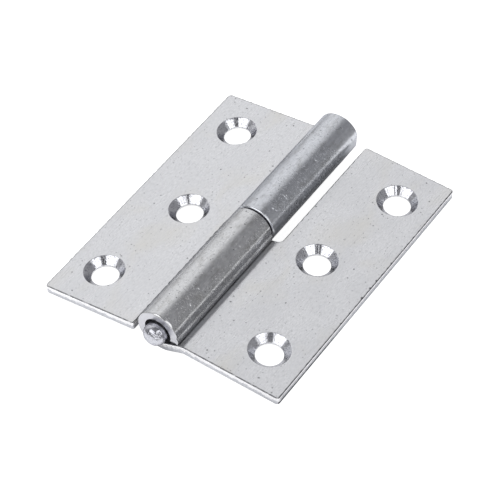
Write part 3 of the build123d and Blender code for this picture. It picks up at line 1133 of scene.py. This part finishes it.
# The wall begins 61 degrees from its middle and is full at 41 degrees
facing = node(room, "ShaderNodeVectorMath", {0: look, 1: to_pale_wall}, operation="DOT_PRODUCT")
on_wall = node(room, "ShaderNodeMapRange", {
    "Value": facing.outputs["Value"], "From Min": 0.48, "From Max": 0.76},
    interpolation_type="SMOOTHSTEP")
up_wall = node(room, "ShaderNodeMapRange", {"Value": upward, "From Min": 0.0, "From Max": 0.38})
pale_wall = node(room, "ShaderNodeMix", {
    "Factor": up_wall.outputs["Result"], "A": colour("#CBCBCD"), "B": colour("#F6F6F7")},
    data_type="RGBA")
up_room = node(room, "ShaderNodeMapRange", {"Value": upward, "From Min": 0.25, "From Max": 0.65})
unlit_room = node(room, "ShaderNodeMix", {
    "Factor": up_room.outputs["Result"], "A": colour("#969698"), "B": colour("#8A8A8D")},
    data_type="RGBA")
walls = node(room, "ShaderNodeMix", {
    "Factor": on_wall.outputs["Result"], "A": unlit_room.outputs["Result"],
    "B": pale_wall.outputs["Result"]}, data_type="RGBA")
print("pale wall towards", [round(x, 2) for x in to_pale_wall])

# %% [markdown]
# ## The camera's reflection and the backdrop
#
# A camera is dark, and faces that look straight at it mirror it, so the room has a dark spot in its
# direction. For the camera's own view the room is plain white, by a mix on the kind of ray, which keeps the
# backdrop white without more light on the hinge.

# %% Dark camera and white backdrop
# The camera's direction from the hinge: how far right of the pin's line, and how far above the table
azimuth, elevation = math.radians(36.295), math.radians(46.590)
to_camera = Vector((math.sin(azimuth) * math.cos(elevation), -math.cos(azimuth) * math.cos(elevation),
                    math.sin(elevation)))
# The camera's body fills 8 degrees round its direction and fades out by 12 degrees
straight_back = node(room, "ShaderNodeVectorMath", {0: look, 1: to_camera}, operation="DOT_PRODUCT")
camera_body = node(room, "ShaderNodeMapRange", {
    "Value": straight_back.outputs["Value"], "From Min": 0.978, "From Max": 0.990})
surroundings = node(room, "ShaderNodeMix", {
    "Factor": camera_body.outputs["Result"], "A": walls.outputs["Result"], "B": colour("#303034")},
    data_type="RGBA")
seen = node(room, "ShaderNodeLightPath")
backdrop = node(room, "ShaderNodeMix", {
    "Factor": seen.outputs["Is Camera Ray"], "A": surroundings.outputs["Result"],
    "B": colour("#FFFFFF")}, data_type="RGBA")
glow = node(room, "ShaderNodeBackground", {"Color": backdrop.outputs["Result"], "Strength": 1.0})
node(room, "ShaderNodeOutputWorld", {"Surface": glow.outputs["Background"]})
print("direction of the camera", [round(x, 3) for x in to_camera])

# %% [markdown]
# ## Softboxes
#
# Two softboxes stand in front, left and right of the camera, and give the white glints in the countersinks,
# with the unlit gap of the camera between them. A low card in front lights the near edges. They are area
# lamps and not bright patches of the world, because the hinge's soft shadow needs lamps with a size.

# %% Softboxes
# Direction from the hinge, width and height in metres, and radiance, where 1 is white
softboxes = (("softbox_left", (-0.25, -0.74, 0.62), 0.78, 0.50, 1.4),
             ("softbox_right", (0.74, -0.18, 0.65), 0.58, 0.50, 1.4),
             ("low_card", (0.45, -0.86, 0.16), 0.90, 0.34, 1.2))
softbox_distance = 0.8
for name, direction, width, height, radiance in softboxes:
    softbox = bpy.data.lights.new(name, "AREA")
    softbox.shape, softbox.size, softbox.size_y = "RECTANGLE", width, height
    softbox.energy = radiance * math.pi * width * height
    lamp = bpy.data.objects.new(name, softbox)
    towards = Vector(direction).normalized()
    lamp.location = towards * softbox_distance
    lamp.rotation_euler = towards.to_track_quat("Z", "Y").to_euler()
    bpy.context.scene.collection.objects.link(lamp)
    print(name, "power", round(softbox.energy, 2), "W")

# %% [markdown]
# ## Table
#
# The hinge lies on a table covered with paper. One large flat square is enough for it.

# %% Sheet of paper
paper_reach = 6.0
floor_mesh = bpy.data.meshes.new("floor")
corners = [(-paper_reach, -paper_reach, 0), (paper_reach, -paper_reach, 0),
           (paper_reach, paper_reach, 0), (-paper_reach, paper_reach, 0)]
floor_mesh.from_pydata(corners, [], [[0, 1, 2, 3]])
floor = bpy.data.objects.new("floor", floor_mesh)
bpy.context.scene.collection.objects.link(floor)
print("paper", 2 * paper_reach, "m wide")

# %% [markdown]
# ## White paper
#
# Paper is matt and nearly white. It adds a little light of its own for the camera, so that it stays white
# round the hinge's soft shadow, and for reflections, so that the metal mirrors a white table. The part for
# reflections fades where the table is shut in, under and between the leaves, as on a real one, and also
# with the distance from the hinge, because the real paper is lit only round it. Ambient occlusion gives the
# first, and the distance on the table the second.

# %% Matt white paper
paper_white = colour("#EFEFEF")[:3]
own_light_seen, own_light_mirrored = 0.84, 0.68
lit_middle = (-0.02, 0.03, 0)
lit_reach, unlit_from = 0.077, 0.115
shut_in_reach = 0.012  # how near a thing above the table has to be to shut it in

white_paper = bpy.data.materials.new("white_paper")
white_paper.use_nodes = True
paper = white_paper.node_tree
paper.nodes.clear()
seen = node(paper, "ShaderNodeLightPath")
open_sky = node(paper, "ShaderNodeAmbientOcclusion", {"Distance": shut_in_reach}, samples=4)
not_shut_in = node(paper, "ShaderNodeMapRange", {
    "Value": open_sky.outputs["AO"], "From Min": 0.33, "From Max": 0.58, "To Min": 0.10})
on_table = node(paper, "ShaderNodeTexCoord").outputs["Object"]
away = node(paper, "ShaderNodeVectorMath", {0: on_table, 1: lit_middle}, operation="DISTANCE")
near_by = node(paper, "ShaderNodeMapRange", {
    "Value": away.outputs["Value"], "From Min": lit_reach, "From Max": unlit_from,
    "To Min": 1.0, "To Max": 0.12})
shown = node(paper, "ShaderNodeMath", {0: not_shut_in.outputs["Result"], 1: near_by.outputs["Result"]},
             operation="MULTIPLY")
# For reflections the paper's colour is darkened where it is shut in and away from the hinge: painted shade.
paleness = node(paper, "ShaderNodeMix", {
    "Factor": seen.outputs["Is Glossy Ray"], "A": 1.0, "B": shown.outputs[0]}, data_type="FLOAT")
pale = node(paper, "ShaderNodeVectorMath", {0: paper_white, "Scale": paleness.outputs["Result"]},
            operation="SCALE")
matt = node(paper, "ShaderNodeBsdfDiffuse", {"Color": pale.outputs["Vector"]})
mirrored = node(paper, "ShaderNodeMath", {0: seen.outputs["Is Glossy Ray"], 1: own_light_mirrored},
                operation="MULTIPLY")
open_only = node(paper, "ShaderNodeMath", {0: mirrored.outputs[0], 1: shown.outputs[0]},
                 operation="MULTIPLY")
strength = node(paper, "ShaderNodeMath", {
    0: seen.outputs["Is Camera Ray"], 1: own_light_seen, 2: open_only.outputs[0]},
    operation="MULTIPLY_ADD")
lift = node(paper, "ShaderNodeEmission", {"Color": colour("#FFFFFF"), "Strength": strength.outputs[0]})
both = node(paper, "ShaderNodeAddShader", {0: matt.outputs[0], 1: lift.outputs[0]})
node(paper, "ShaderNodeOutputMaterial", {"Surface": both.outputs[0]})
floor_mesh.materials.append(white_paper)
print("paper", [round(c, 2) for c in paper_white])

# %% [markdown]
# ## Camera
#
# The camera stands where the photographer's did: about half a metre away, 47 degrees above the table and
# 36 degrees to the right of the pin's line, with a long lens and a slight roll.

# %% Camera
camera_distance, camera_roll = 0.524368, math.radians(-3.319)
target = Vector((0.003630, -0.004729, axis_height / 1000))
frame_pixels, lens_in_pixels, sensor_width = 500, 2300.642, 36.0

right = (-to_camera).cross(Vector((0, 0, 1))).normalized()
up = right.cross(-to_camera)
rolled_right = right * math.cos(camera_roll) + up * math.sin(camera_roll)
rolled_up = up * math.cos(camera_roll) - right * math.sin(camera_roll)
stand = Matrix((rolled_right, rolled_up, to_camera)).transposed().to_4x4()
stand.translation = target + to_camera * camera_distance
camera_data = bpy.data.cameras.new("camera")
camera_data.sensor_width = sensor_width
camera_data.lens = lens_in_pixels * sensor_width / frame_pixels
camera = bpy.data.objects.new("camera", camera_data)
camera.matrix_world = stand
bpy.context.scene.collection.objects.link(camera)
bpy.context.scene.camera = camera
bpy.context.scene.view_settings.view_transform = "Standard"
print("lens", round(camera_data.lens, 2), "mm")
